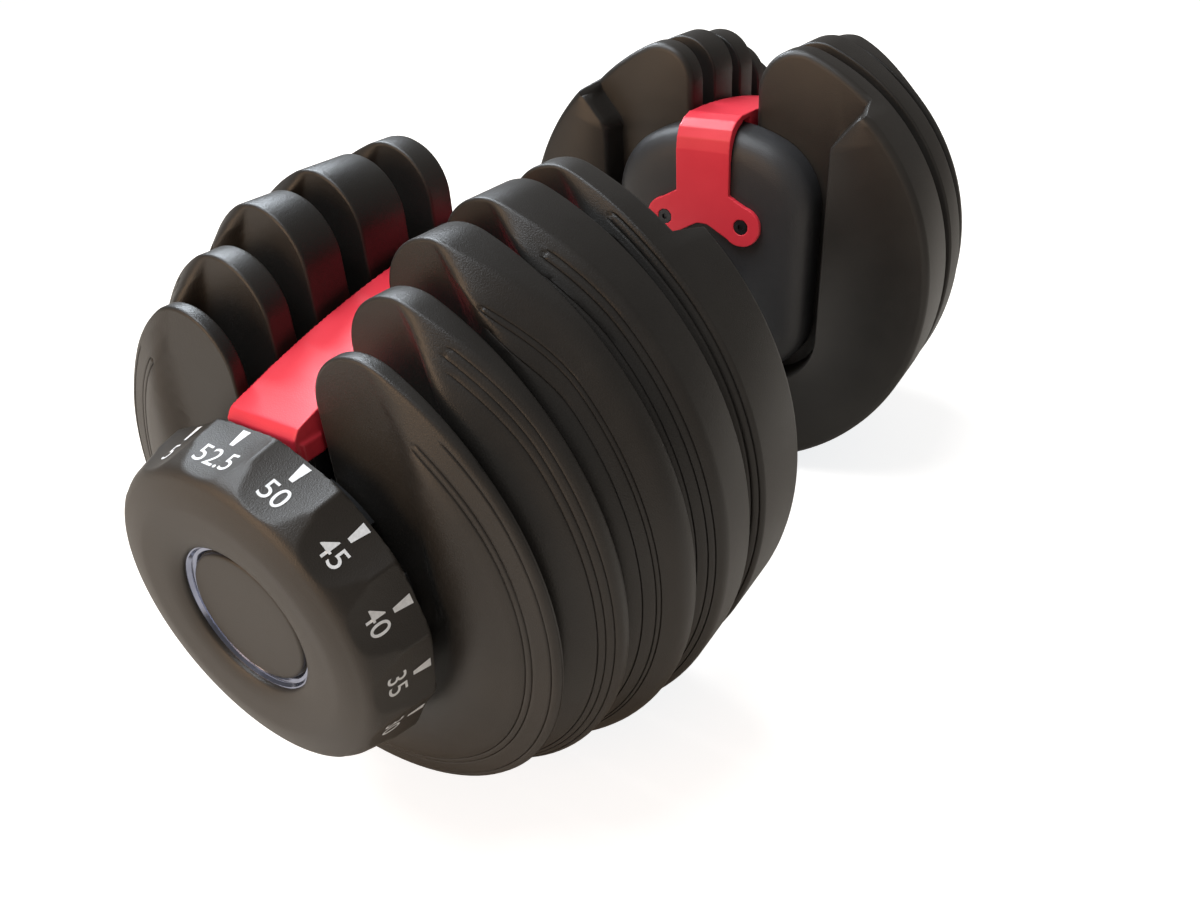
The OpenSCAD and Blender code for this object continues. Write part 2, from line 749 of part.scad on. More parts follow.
// Outside of the dial as distances in from its edge and its front
dial_r = dial_d / 2;
well_r = well_d / 2;
face = [[0.6, 14.6], [2.2, 10.6], [3.4, 6.6], [4.4, 4], [5.1, 2.9], [6, 2.1], [7.2, 1.5],
    [10.6, 0.7], [15, 0], [19, 0.2], [24, 1.4]];
module dial_section() {
    well_x = dial_t - 2.2;
    polygon(concat([[0, 0], [dial_r - 1.2, 0], [dial_r, 1.2]],
        [for (p = face) [dial_r - p[0], dial_t - p[1]]], [[well_r, well_x], [0, well_x]]));
}

module finger_hollow() {
    r = 55;
    tilt = 11;
    translate([0, 0, dial_r + r - hollow_depth]) rotate([0, tilt, 0])
        bar(-dial_t, 2 * dial_t, r);
}

module dial() {
    hub_r = key_r + 5.5;
    hub_l = sleeve_end - dial_back;
    well_depth = well_floor - dial_back;
    color(charcoal) translate([dial_back, 0, 0]) difference() {
        turned() dial_section();
        bar(well_depth, dial_t + 1, well_r);
        // Hollow inside, open to the plates round the hub
        tube(-1, dial_t - 5 - dial_wall, dial_r - dial_wall - 4.5, hub_r);
        bar(hub_l, dial_t, hub_r - 2.5);
        bar(-1, hub_l + 1, sleeve_r + run_gap);
        keyway(-1, hub_l + 1, run_gap);
        for (s = [0 : settings - 1])
            rotate([s * pitch, 0, 0]) finger_hollow();
    }
}

module dial_ring() {
    color(silver) turned() polygon([[cap_d / 2 + 0.1, well_floor],
        [well_r - 0.1, well_floor], [well_r - 0.1, well_floor + 0.6],
        [cap_d / 2 + 0.8, well_floor + 1], [cap_d / 2 + 0.1, well_floor + 1]]);
}

module dial_cap() {
    top = dial_front - 3.6;
    edge = 0.6;
    r = cap_d / 2;
    color(charcoal) turned() polygon([[0, well_floor], [r, well_floor],
        [r, top - edge], [r - edge, top], [0, top]]);
}

// ---- Handle --------------------------------------------------------------

axle_end = sleeve_end + 0.1 + washer_t + end_nut_t + 0.5;
module axle() {
    color(steel) bar(-axle_end, axle_end, axle_r);
}

module grip_tube() {
    color(steel) tube(-housing_face, housing_face, grip_tube_d / 2, axle_r + run_gap);
}

module grip_rubber() {
    half = housing_face - 0.5;
    r0 = grip_tube_d / 2;
    r1 = grip_end_d / 2;
    r2 = grip_d / 2;
    bulge = [for (i = [-10 : 10]) let (t = i / 10)
        [r1 + (r2 - r1) * (1 - t * t) * (1 - t * t), t * (half - 4)]];
    color(rubber) turned() polygon(concat([[r0, half], [r0, -half],
        [r1 - 0.6, -half], [r1, -half + 1]], bulge, [[r1, half - 1], [r1 - 0.6, half]]));
}

module inner_nut() {
    color(steel) difference() {
        hexagon(housing_face + housing_wall, housing_face + housing_wall + inner_nut_t,
            inner_nut_w);
        bar(housing_face, index_front, axle_r + run_gap);
    }
}

module axle_washer() {
    color(steel) tube(sleeve_end + 0.1, sleeve_end + 0.1 + washer_t,
        washer_d / 2, axle_r + run_gap);
}

module end_nut() {
    x0 = sleeve_end + 0.1 + washer_t;
    color(steel) difference() {
        hexagon(x0, x0 + end_nut_t, end_nut_w);
        bar(x0 - 1, x0 + end_nut_t + 1, axle_r + run_gap);
    }
}

module left() {
    raised() rotate([0, 0, 180]) children();
}

raised() axle();
raised() grip_tube();
raised() grip_rubber();
raised() both_ends() {  // bridge_screws
    translate([0, foot_screw_y, foot_screw_z]) bridge_screw();
    translate([0, -foot_screw_y, foot_screw_z]) bridge_screw();
}
raised() both_ends() inner_nut();  // inner_nuts
raised() both_ends() axle_washer();  // axle_washers
raised() both_ends() end_nut();  // end_nuts

raised() housing();  // right_housing
raised() bulkhead();  // right_bulkhead
raised() bridge();  // right_bridge
raised() spacers();  // right_spacers
raised() sleeve();  // right_sleeve
raised() dial();  // right_dial
raised() dial_ring();  // right_dial_ring
raised() dial_cap();  // right_dial_cap
raised() detent_plunger();  // right_detent_plunger
raised() detent_spring();  // right_detent_spring

left() housing();  // left_housing
left() bulkhead();  // left_bulkhead
left() bridge();  // left_bridge
left() spacers();  // left_spacers
left() sleeve();  // left_sleeve
left() dial();  // left_dial
left() dial_ring();  // left_dial_ring
left() dial_cap();  // left_dial_cap
left() detent_plunger();  // left_detent_plunger
left() detent_spring();  // left_detent_spring

for (n = [0 : plates - 1]) {
    raised() disc(n);
    left() disc(n);
    raised() plate_shell(n);
    left() plate_shell(n);
    raised() plate_core(n);
    left() plate_core(n);
}
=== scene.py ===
# %% [markdown]
# # An adjustable dumbbell
# This lesson dresses a dumbbell whose mechanism was drawn in CAD. The CAD model
# comes in as a fixed frame: it says where every plate, disc and screw is, and
# how each one moves. Blender adds what CAD leaves out, which is soft edges,
# moulded seams, printed numbers and the finish of every surface.
# %% Load the frame
import math

import bmesh
import bpy
import numpy as np
from mathutils import Euler, Matrix, Vector, geometry


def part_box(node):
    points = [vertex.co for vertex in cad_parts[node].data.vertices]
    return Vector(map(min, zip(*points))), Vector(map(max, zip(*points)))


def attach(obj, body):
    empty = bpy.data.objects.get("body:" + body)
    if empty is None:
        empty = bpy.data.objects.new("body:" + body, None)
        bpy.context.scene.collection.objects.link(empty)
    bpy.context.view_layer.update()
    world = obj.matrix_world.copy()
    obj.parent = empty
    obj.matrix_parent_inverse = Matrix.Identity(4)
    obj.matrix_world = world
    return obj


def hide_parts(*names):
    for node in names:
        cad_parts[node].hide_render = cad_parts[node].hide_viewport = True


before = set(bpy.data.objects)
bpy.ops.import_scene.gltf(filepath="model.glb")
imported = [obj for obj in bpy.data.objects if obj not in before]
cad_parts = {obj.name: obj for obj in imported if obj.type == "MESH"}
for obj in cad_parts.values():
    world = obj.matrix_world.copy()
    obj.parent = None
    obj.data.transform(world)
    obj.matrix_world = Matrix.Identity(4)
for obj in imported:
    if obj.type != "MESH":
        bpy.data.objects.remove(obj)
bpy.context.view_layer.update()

# %% [markdown]
# ## Working in one end's own space
# Both ends of the dumbbell are alike: one is the other turned half a turn. So
# each shape is made once, for the right end, in millimetres. Its first number
# runs outwards along the handle, the second across it, and the third is the
# height above the axle. A helper turns such points into a mesh, and another
# places that mesh at both ends, where the two objects share the same data.
# %% Meshes and the two ends
MM = 0.001
AXLE_Z = sum(corner.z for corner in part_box("axle")) / 2
SIDES = {"right": 0, "left": math.pi}


def make_mesh(name, points, faces, finish, sharp=35, weld=0.002):
    """A mesh from points in millimetres round the axle.

    Edges that bend by more than sharp degrees stay crisp, and none do at 0.
    Points closer together than weld are joined.
    """
    data = bpy.data.meshes.new(name)
    data.from_pydata([tuple(p) for p in np.asarray(points) * MM], [], faces)
    shape = bmesh.new()
    shape.from_mesh(data)
    if weld:
        bmesh.ops.remove_doubles(shape, verts=shape.verts, dist=weld * MM)
    bmesh.ops.recalc_face_normals(shape, faces=shape.faces)
    shape.to_mesh(data)
    shape.free()
    data.materials.append(finish)
    if sharp:
        data.set_sharp_from_angle(angle=math.radians(sharp))
    else:
        data.shade_smooth()
    return data


def joined_rows(rows, count):
    """Faces between closed rows of points, each row count points long."""
    faces = []
    for k in range(rows - 1):
        for i in range(count):
            j = (i + 1) % count
            faces.append((k * count + i, k * count + j, (k + 1) * count + j, (k + 1) * count + i))
    return faces


def both_ends(piece, data, body, node):
    """Puts the shared mesh at each end, on its body, in place of its CAD node."""
    for side, turn in SIDES.items():
        shown = bpy.data.objects.new(f"{side}_{piece}", data)
        bpy.context.scene.collection.objects.link(shown)
        shown.location = (0, 0, AXLE_Z)
        shown.rotation_euler = (0, 0, turn)
        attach(shown, body.format(side))
        if node:
            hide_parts(node.format(side))
    print(f"{piece}: {len(data.polygons)} faces")


def span(node):
    """Nearest and farthest distance of a node from the middle, in millimetres."""
    low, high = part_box(node)
    return low.x / MM, high.x / MM


# %% [markdown]
# ## Moulded plastic
# The plates are moulded from charcoal plastic with a fine spark texture. Close
# up, such a surface is full of tiny shallow pits, so its highlights are wide
# and soft, and its gloss changes a little from place to place where it has been
# rubbed. Two noise textures do that: a fine one drives a bump, and a broad one
# moves the roughness and the colour by a few percent. The same recipe with
# other numbers gives the housing, the dial, the red bridge and the rubber.
# %% The plastic recipe


def new_finish(name):
    finish = bpy.data.materials.new(name)
    finish.use_nodes = True
    nodes = finish.node_tree.nodes
    return finish, nodes, finish.node_tree.links, nodes["Principled BSDF"]


def noise(nodes, links, scale, detail=2.0):
    place = nodes.new("ShaderNodeTexCoord")
    texture = nodes.new("ShaderNodeTexNoise")
    texture.inputs["Scale"].default_value = scale
    texture.inputs["Detail"].default_value = detail
    links.new(place.outputs["Object"], texture.inputs["Vector"])
    return texture


def ramp(nodes, links, source, low, high, colours):
    """One colour below low, another above high, and a blend between."""
    scale = nodes.new("ShaderNodeValToRGB")
    for element, place, colour in zip(scale.color_ramp.elements, (low, high), colours):
        element.position = place
        element.color = (*colour, 1)
    links.new(source, scale.inputs["Fac"])
    return scale


def spread(nodes, links, source, low, high):
    """Stretches a source that runs from 0 to 1 over low to high."""
    between = nodes.new("ShaderNodeMapRange")
    between.inputs["To Min"].default_value = low
    between.inputs["To Max"].default_value = high
    links.new(source, between.inputs["Value"])
    return between.outputs["Result"]


def moulded(name, dark, light, rough, grain=2600, depth=0.25, patch=22):
    """Moulded plastic: broad patches of tone and gloss, and a fine grain."""
    finish, nodes, links, surface = new_finish(name)
    broad = noise(nodes, links, patch, 4)
    tone = ramp(nodes, links, broad.outputs["Fac"], 0.35, 0.65, (dark, light))
    links.new(tone.outputs["Color"], surface.inputs["Base Color"])
    gloss = spread(nodes, links, broad.outputs["Fac"], rough - 0.05, rough + 0.07)
    links.new(gloss, surface.inputs["Roughness"])
    fine = noise(nodes, links, grain, 3)
    bump = nodes.new("ShaderNodeBump")
    bump.inputs["Strength"].default_value = depth
    bump.inputs["Distance"].default_value = 0.0004
    links.new(fine.outputs["Fac"], bump.inputs["Height"])
    links.new(bump.outputs["Normal"], surface.inputs["Normal"])
    return finish


charcoal = moulded("charcoal_plastic", (0.015, 0.0135, 0.0120), (0.024, 0.0215, 0.0190), 0.40)
dial_black = moulded("dial_plastic", (0.023, 0.0195, 0.0160), (0.032, 0.0275, 0.0230), 0.42)
slate = moulded("housing_plastic", (0.026, 0.027, 0.029), (0.036, 0.037, 0.040), 0.42)
red = moulded("red_plastic", (0.72, 0.032, 0.056), (0.82, 0.046, 0.072), 0.38, depth=0.12)
rubber = moulded("grip_rubber", (0.012, 0.012, 0.012), (0.020, 0.020, 0.020), 0.62, 1400, 0.6)
nylon = moulded("nylon", (0.016, 0.016, 0.017), (0.024, 0.024, 0.025), 0.5, depth=0.1)
print("plastics:", [m.name for m in bpy.data.materials])

# %% [markdown]
# Bare steel is never one even grey: a fine noise makes it a little darker and
# a little rougher from spot to spot. The ring in the dial is polished and has a
# bluish tone, the screws are blackened, and the numbers are a matt white print
# whose ink is a little uneven.
# %% Metals and print


def metal(name, colour, rough, grain=400):
    finish, nodes, links, surface = new_finish(name)
    surface.inputs["Metallic"].default_value = 1.0
    spots = noise(nodes, links, grain, 3)
    worn = tuple(0.8 * c for c in colour)
    tone = ramp(nodes, links, spots.outputs["Fac"], 0.3, 0.7, (worn, colour))
    links.new(tone.outputs["Color"], surface.inputs["Base Color"])
    gloss = spread(nodes, links, spots.outputs["Fac"], rough * 0.8, rough * 1.3)
    links.new(gloss, surface.inputs["Roughness"])
    return finish


def print_ink(name, dark, light):
    finish, nodes, links, surface = new_finish(name)
    blotch = noise(nodes, links, 900, 2)
    tone = ramp(nodes, links, blotch.outputs["Fac"], 0.3, 0.7, (dark, light))
    links.new(tone.outputs["Color"], surface.inputs["Base Color"])
    surface.inputs["Roughness"].default_value = 0.55
    return finish


steel = metal("plain_steel", (0.56, 0.57, 0.58), 0.32)
black_steel = metal("black_steel", (0.10, 0.10, 0.11), 0.38)
silver = metal("silver_ring", (0.36, 0.40, 0.54), 0.14, 250)
white_ink = print_ink("white_print", (0.74, 0.76, 0.78), (0.88, 0.90, 0.92))
shared = {node: steel for node in ("axle", "grip_tube", "inner_nuts", "axle_washers", "end_nuts")}
shared.update({"bridge_screws": black_steel, "grip_rubber": rubber})
one_end = {
    "housing": slate, "spacers": slate, "bulkhead": steel, "bridge": red, "sleeve": nylon,
    "dial": dial_black, "dial_ring": silver, "dial_cap": dial_black,
    "detent_plunger": steel, "detent_spring": steel}
for n in range(1, 6):
    one_end.update({f"disc_{n}": nylon, f"plate_{n}_core": steel, f"plate_{n}_shell": charcoal})
for side in SIDES:
    shared.update({f"{side}_{piece}": finish for piece, finish in one_end.items()})
for node, finish in shared.items():
    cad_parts[node].data.materials.clear()
    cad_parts[node].data.materials.append(finish)
print(len(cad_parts), "CAD nodes have a finish")

# %% [markdown]
# ## The plates
# Each plate is a disc with a slot for the handle, two round-tipped horns beside
# the slot, and a rim that slopes in towards the dial. The horns are flat and
# keep the full radius; past them the front swells up over a soft shoulder into
# the sloping cheek. The whole front can be written as one height field: for a
# point across and above the axle, how far out does the plastic reach? That is
# easier to keep smooth than a stack of booleans, and each plate differs from
# the next only in a few sizes: its radius, the height of its horns, of its
# straight rim and of its cheek, how far in the slope reaches, how soft the
# crease is, and the radii where its seams run.
# %% Sizes of the five plates
SLOT = 15.5  # half the slot's width, and the radius of its end
TIP = 17.0  # radius of a horn's tip
CHANNEL = 44.5  # from the middle to the horns' foot
SHOULDER = 8.5  # how far the shoulder takes to rise
HORN_SIDE = 60.0  # radius of the curve in which a horn leans in
HORN_BEND = 42.0  # how far below the plate's top that curve starts
DRIFT = 27.0  # past a horn, how far the rim takes to reach its own height
SEAMS_START_WITHIN = 62.0  # nearer to the middle than this the seams begin
NAMES = ("r", "horn_t", "land", "t", "fall", "soft", "seam", "step", "seam_end")
PLATES = {
    1: (101.6, 24.5, 26.5, 32.5, 9.6, 1.2, (99.9, 97.9), 95.6, 52.0),
    2: (101.2, 18.9, 15.0, 23.8, 9.2, 4.0, (98.6, 97.0), 94.6, 51.0),
    3: (98.2, 14.0, 5.0, 18.1, 13.2, 8.0, (92.7, 91.7), 89.0, 49.0),
    4: (90.0, 8.3, 3.5, 15.0, 13.0, 3.5, (88.2, 86.4), 84.8, 48.5),
    5: (81.8, 4.4, 2.2, 7.7, 24.8, 2.2, (74.2, 72.4), 79.4, 48.5),
}
PLATES = {n: dict(zip(NAMES, sizes)) for n, sizes in PLATES.items()}
for n, plate in PLATES.items():
    plate["back"], plate["end"] = span(f"right_plate_{n}_shell")
    plate["foot"] = AXLE_Z / MM if plate["r"] > AXLE_Z / MM else None
    plate["climb"] = (plate["t"] - plate["land"]) / plate["fall"]
    print(f"plate {n}: {plate['r'] * 2} mm across, from {plate['back']:.1f} to {plate['end']:.1f}")

# %% [markdown]
# The outline is walked once round, counterclockwise: along the rim, over a
# horn's tip, down into the slot and up the other side. Steps are short where
# something happens and long on the plain rim.
# %% The outline of a plate


def arc(centre, radius, start, end, step):
    """Points on an arc in the (across, up) plane, angles in degrees."""
    count = max(2, int(abs(math.radians(end - start)) * radius / step))
    angles = np.radians(np.linspace(start, end, count + 1))
    return np.c_[centre[0] + radius * np.cos(angles), centre[1] + radius * np.sin(angles)]


def plate_outline(plate):
    r = plate["r"]
    tip_y = SLOT + TIP
    tip_z = math.sqrt((r - TIP) ** 2 - tip_y**2)
    meet = math.degrees(math.atan2(tip_z, tip_y))
    fine_from = math.degrees(math.acos(SEAMS_START_WITHIN / r))
    start = -90.0
    half = []
    if plate["foot"]:
        start = -math.degrees(math.asin(plate["foot"] / r))
        half.append(np.array([[0, -plate["foot"]], [8, -plate["foot"]]]))
    half.append(arc((0, 0), r, start, fine_from, 4.0))
    half.append(arc((0, 0), r, fine_from, meet, 0.7))
    half.append(arc((tip_y, tip_z), TIP, meet, 180, 1.1))
    half.append(np.c_[np.full(12, SLOT), np.linspace(tip_z, 0, 12)])
    half.append(arc((0, 0), SLOT, 0, -90, 2.0))
    right = np.vstack(half)
    keep = np.r_[True, np.hypot(*np.diff(right, axis=0).T) > 0.05]
    right = right[keep]
    left = right[::-1] * [-1, 1]
    return np.vstack([right, left[1:-1]])


for n, plate in PLATES.items():
    plate["outline"] = plate_outline(plate)
print("outline points:", [len(p["outline"]) for p in PLATES.values()])

# %% [markdown]
# Now the height field itself. The straight rim turns into the slope over a
# round crease, which is crisp on plate 1 and broad on plate 3, and a smooth
# minimum joins the slope to the flat cheek. A second function says how far a
# point lies outside the horns' own outline. It eases the height from the
# horn's flat face to the cheek: steeply at the foot, softly at the crest.
# %% The front of a plate as a height field


def smooth(share):
    share = np.clip(share, 0, 1)
    return share * share * (3 - 2 * share)


def soft_min(a, b, soft):
    blend = np.clip(0.5 + 0.5 * (b - a) / soft, 0, 1)
    return b + (a - b) * blend - soft * blend * (1 - blend)


def past_horn(plate, y, z):
    """Distance outwards from the horns' foot line, negative on the horns."""
    y = np.abs(y)
    lean = np.maximum(z - plate["r"] + HORN_BEND, 0)
    tall = np.hypot(y + HORN_SIDE - CHANNEL, lean) - HORN_SIDE
    return np.where(z > 0, tall, np.hypot(y, z) - CHANNEL)


def rounding(depth, radius, climb):
    """How far a round edge falls below the corner, at a distance in from it."""
    inside = np.clip(radius - depth, 0, radius)
    corner = climb * depth - climb * radius + radius * math.hypot(1, climb)
    fall = corner - np.sqrt(np.maximum(radius**2 - inside**2, 0))
    touch = radius * (1 - climb / math.hypot(1, climb))
    return np.where(depth < touch, fall, 0)


def slope_height(plate, y, z):
    """Height of the sloping rim. Near a horn it starts at the horn's edge."""
    drift = smooth(past_horn(plate, y, z) / DRIFT)
    land = plate["horn_t"] + (plate["land"] - plate["horn_t"]) * drift
    return land + (plate["r"] - np.hypot(y, z)) * plate["climb"], drift


def front(plate, y, z, depth):
    outer, drift = slope_height(plate, y, z)
    outer = outer - rounding(depth, 1.0 + (plate["soft"] - 1.0) * drift, plate["climb"])
    outer = soft_min(outer, plate["t"] + 0 * outer, 1.6)
    horn = plate["horn_t"] - rounding(depth, 1.0, 0)
    start = past_horn(plate, y, z) / SHOULDER
    start = (start + np.hypot(start, 0.1)) / 2
    share = 1 - (1 - np.clip(start, 0, 1)) ** 2.2
    return plate["back"] + horn + (outer - horn) * share


print("plate 5's horn and cheek:", front(PLATES[5], np.array([30.0, 70.0]), np.array([60.0, 0.0]), 9.0))

# %% [markdown]
# A moulded seam runs round each rim: two thin lines, joined in a round end just
# past the horn, and a single line further in. They are pressed into the surface
# by measuring the distance to them. On plate 1 the hand side also has the
# recess that the housing stands in, written as a second height field.
# %% Seams and the recess
LINE = 0.17  # half the width of a seam's line
SEAM_DEPTH = 0.42
RECESS_DEPTH = 13.5
RECESS_WALL = 2.2  # how far across the wall takes to go down


def seam_depth(plate, y, z):
    """How deep the plate's seams are pressed in at a point."""
    high, low = plate["seam"]
    middle = (high + low) / 2
    stretch = math.hypot(1, plate["climb"])
    r = np.hypot(y, z)
    across = (middle - r) * stretch
    half = (high - low) / 2 * stretch
    end = math.asin(plate["seam_end"] / middle)
    past = (np.arctan2(np.abs(y), z) - end) * r
    away = np.abs(np.hypot(across, np.maximum(half - past, 0)) - half)
    strip = np.exp(-((away / LINE) ** 2))
    inner = np.exp(-(((plate["step"] - r) * stretch / LINE) ** 2)) * smooth((past - 3) / 3)
    return SEAM_DEPTH * np.maximum(strip, inner) * stretch


flare = np.array([(54, 61), (93, 107.2), (-93, 107.2), (-54, 61)])
low_corners = (arc((-28, -25.5), 26, 180, 270, 3), arc((28, -25.5), 26, 270, 360, 3))
RECESS = np.vstack([flare, *low_corners])


def inside_recess(y, z):
    """Distance inside the recess's outline, negative outside it."""
    a, b = RECESS, np.roll(RECESS, -1, axis=0)
    p = np.stack([y, z], -1)[:, None]
    run = np.clip(((p - a) * (b - a)).sum(-1) / ((b - a) ** 2).sum(-1), 0, 1)
    away = np.linalg.norm(p - a - run[..., None] * (b - a), axis=-1).min(1)
    straddles = (a[:, 1] > z[:, None]) != (b[:, 1] > z[:, None])
    with np.errstate(divide="ignore", invalid="ignore"):
        cross = a[:, 0] + (z[:, None] - a[:, 1]) / (b[:, 1] - a[:, 1]) * (b[:, 0] - a[:, 0])
    odd = (straddles & (y[:, None] < cross)).sum(1) % 2 == 1
    return np.where(odd, away, -away)


def rear(n, plate, y, z):
    """The hand-side face: flat, with plate 1's recess sunk into it."""
    if n != 1:
        return np.full(len(y), plate["back"])
    return plate["back"] + RECESS_DEPTH * smooth(inside_recess(y, z) / RECESS_WALL + 0.35)


print("seam depth on plate 3:", seam_depth(PLATES[3], np.array([0.0]), np.array([-91.7])).round(2))

# %% [markdown]
# The skin is built in two parts. Round the outline it is a strip of rows, each
# set a little further in, that turns over the rounded edges and climbs the
# slope: rows are packed close where the seam is pressed in. Inside the last row
# the surface is gentle, so scattered points are enough, and a constrained
# Delaunay triangulation joins them to the strip.
# %% Build a plate's skin


def inward(outline):
    """A unit step into the plate at each point of its outline."""
    step = np.roll(outline, -1, axis=0) - np.roll(outline, 1, axis=0)
    normal = np.c_[-step[:, 1], step[:, 0]]
    return normal / np.linalg.norm(normal, axis=1)[:, None]


def row_depths(plate, width):
    """Distances in from the outline, close together at the seam's two lines."""
    lines = [plate["r"] - r for r in (*plate["seam"], plate["step"])]
    near = LINE / math.hypot(1, plate["climb"])
    rows = [d + k * near for d in lines for k in (-2.2, -1.2, -0.5, 0.0, 0.5, 1.2, 2.2)]
    rows.append((lines[0] + lines[1]) / 2)
    plain = [0.06, 0.2, 0.45, 1.0, 1.6, 2.4, *np.linspace(3.2, width - 0.5, 8)]
    plain = [d for d in plain if min(abs(d - r) for r in rows) > 1.5 * near]
    rows = sorted(rows)
    rows = [d for d, before in zip(rows, [-9, *rows]) if d - before > 0.04]
    return np.array(sorted(plain + rows + [width]))


def fill(loop, spots):
    """Triangles inside a closed loop, through the loop's points and the spots."""
    points = [Vector(p) for p in np.vstack([loop, spots])]
    edges = [(i, (i + 1) % len(loop)) for i in range(len(loop))]
    made = geometry.delaunay_2d_cdt(points, edges, [], 1, 1e-6)
    return np.array([tuple(v) for v in made[0]]), [list(f) for f in made[2]]


def scattered(plate, inner_r, loop):
    """Points for the gentle part: rows along the shoulder, and plain rings."""
    bend = plate["r"] - HORN_BEND
    spots = []
    for out in (-1.5, -0.5, 0.0, 0.5, 1.3, 2.4, 3.8, 5.4, 7.2, 9.4):
        tall = np.c_[np.full(24, CHANNEL + out), np.linspace(2, bend, 24)]
        lean = arc((CHANNEL - HORN_SIDE, bend), HORN_SIDE + out, 0, 45, 1.2)[1:]
        spots += [tall, lean]
    for r in np.arange(19, inner_r, 3.0):
        ring = arc((0, 0), r, -90, 90, 4.0)
        band = past_horn(plate, ring[:, 0], ring[:, 1])
        spots.append(ring[(ring[:, 1] <= 0) | (band < -2.5) | (band > 10.5)])
    spots = np.vstack(spots)
    spots = np.vstack([spots, spots * [-1, 1]])
    spots = spots[np.hypot(*spots.T) < inner_r]
    gap = np.linalg.norm(spots[:, None] - loop[None], axis=-1).min(1)
    clear = (np.abs(spots[:, 0]) > SLOT + 2.2) | (spots[:, 1] < -SLOT - 2.2)
    return np.unique(spots[(gap > 0.6) & clear].round(4), axis=0)


def skin_rows(n, plate, width):
    """Rows of points from the hand-side face over both edges and up the slope."""
    outline = plate["outline"]
    turn = inward(outline)
    past = past_horn(plate, *outline.T)
    rim = np.hypot(*outline.T) > plate["r"] - 0.6
    ease = smooth((past - 0.5) / 4.5) * rim
    least = 1.7  # how far in the strip goes on a horn
    reach = least + (width - least) * ease
    layers = []
    round_edge = 3.0 if n == 1 else 1.0  # radius of the hand side's edge
    for angle in np.radians((90, 68, 45, 22, 0)):
        place = outline + turn * round_edge * (1 - math.cos(angle))
        layers.append(np.c_[rear(n, plate, *place.T) + round_edge * (1 - math.sin(angle)), place])
    top = front(plate, *outline.T, np.zeros(len(outline)))
    layers.append(np.c_[top, outline])
    for row in row_depths(plate, width):
        small = min(row, 1.0 + 0.7 * (row - 1.0) / (width - 1.0))
        depth = np.where(row <= 1.0, row, small + (row - small) * (reach - least) / (width - least))
        place = outline + turn * depth[:, None]
        height = front(plate, *place.T, depth) - seam_depth(plate, *place.T)
        layers.append(np.c_[height, place])
    return np.array(layers)


def plate_mesh(n, plate):
    width = plate["fall"] + 1.6
    skin = skin_rows(n, plate, width)
    faces = joined_rows(*skin.shape[:2])
    points = [skin.reshape(-1, 3)]
    start = len(points[0])
    loop = skin[-1][:, 1:]
    inner_r = plate["r"] - width - 1.2
    flat, triangles = fill(loop, scattered(plate, inner_r, loop))
    well_inside = np.full(len(flat), 9.0)
    height = front(plate, *flat.T, well_inside)
    points.append(np.c_[height, flat])
    faces += [[start + i for i in t] for t in triangles]
    start += len(flat)
    loop = skin[0][:, 1:]
    spots = recess_spots(loop) if n == 1 else np.zeros((0, 2))
    flat, triangles = fill(loop, spots)
    points.append(np.c_[rear(n, plate, *flat.T), flat])
    faces += [[start + i for i in t] for t in triangles]
    return make_mesh(f"plate_{n}", np.vstack(points), faces, charcoal, sharp=50)


def recess_spots(loop):
    """Rows along the recess's wall, and a few points on its floor."""
    spots = []
    middle = np.array([0, 20.0])
    for out in (-1.2, -0.5, 0.0, 0.5, 1.0, 1.6, 2.6):
        for a, b in zip(RECESS, np.roll(RECESS, -1, axis=0)):
            steps = max(2, int(np.linalg.norm(b - a) / 3))
            line = a + (b - a) * np.linspace(0, 1, steps)[:-1, None]
            side = np.array([-(b - a)[1], (b - a)[0]]) / np.linalg.norm(b - a)
            side = side if np.dot(side, middle - (a + b) / 2) > 0 else -side
            spots.append(line + side * out)
    spots = np.vstack(spots)
    gap = np.linalg.norm(spots[:, None] - loop[None], axis=-1).min(1)
    inside = np.hypot(*spots.T) < 100.6
    clear = (np.abs(spots[:, 0]) > SLOT + 1.5) | (spots[:, 1] < -SLOT - 1.5)
    clear &= spots[:, 1] > -99
    return np.unique(spots[(gap > 0.8) & inside & clear].round(3), axis=0)


for n, plate in PLATES.items():
    name = f"plate_{n}"
    both_ends(name, plate_mesh(n, plate), f"{{}}_{name}", f"{{}}_{name}_shell")

# %% [markdown]
# ## The dial
# The dial is turned round the axle from one profile, then scalloped: a shallow
# hollow behind each number gives the fingers a hold. Where a hollow's tilted
# cylinder meets the rounded body, the lesser radius wins, with a soft minimum
# that leaves a rounded ridge between two hollows.
# %% Shape of the dial
DIAL_BACK = span("right_dial")[0]
SETTINGS = [
    "52.5", "50", "45", "40", "35", "30", "25", "22.5", "20", "17.5", "15", "12.5", "10", "7.5", "5"]
PITCH = 2 * math.pi / len(SETTINGS)
DIAL = np.array([
    (0.0, 44.0), (0.0, 50.9), (0.3, 51.6), (1.0, 52.0), (3.0, 52.0), (6.0, 51.4), (8.5, 50.6),
    (11.0, 49.5), (13.0, 48.9), (15.0, 48.2), (16.4, 47.7), (17.6, 47.0), (18.5, 46.0),
    (19.1, 44.8), (19.5, 43.2), (20.0, 41.0), (20.4, 38.6), (20.6, 36.4), (20.55, 35.0),
    (20.4, 33.0), (20.2, 30.5), (19.9, 28.0), (19.3, 25.5), (18.7, 24.1), (18.3, 23.5),
    (17.6, 23.3), (15.5, 23.3)])
DIAL_RADIUS = 52.0  # at its widest
HOLLOW = 55.0  # radius of the cylinder that cuts a hollow
HOLLOW_DEPTH = 1.9
HOLLOW_TILT = math.tan(math.radians(11))


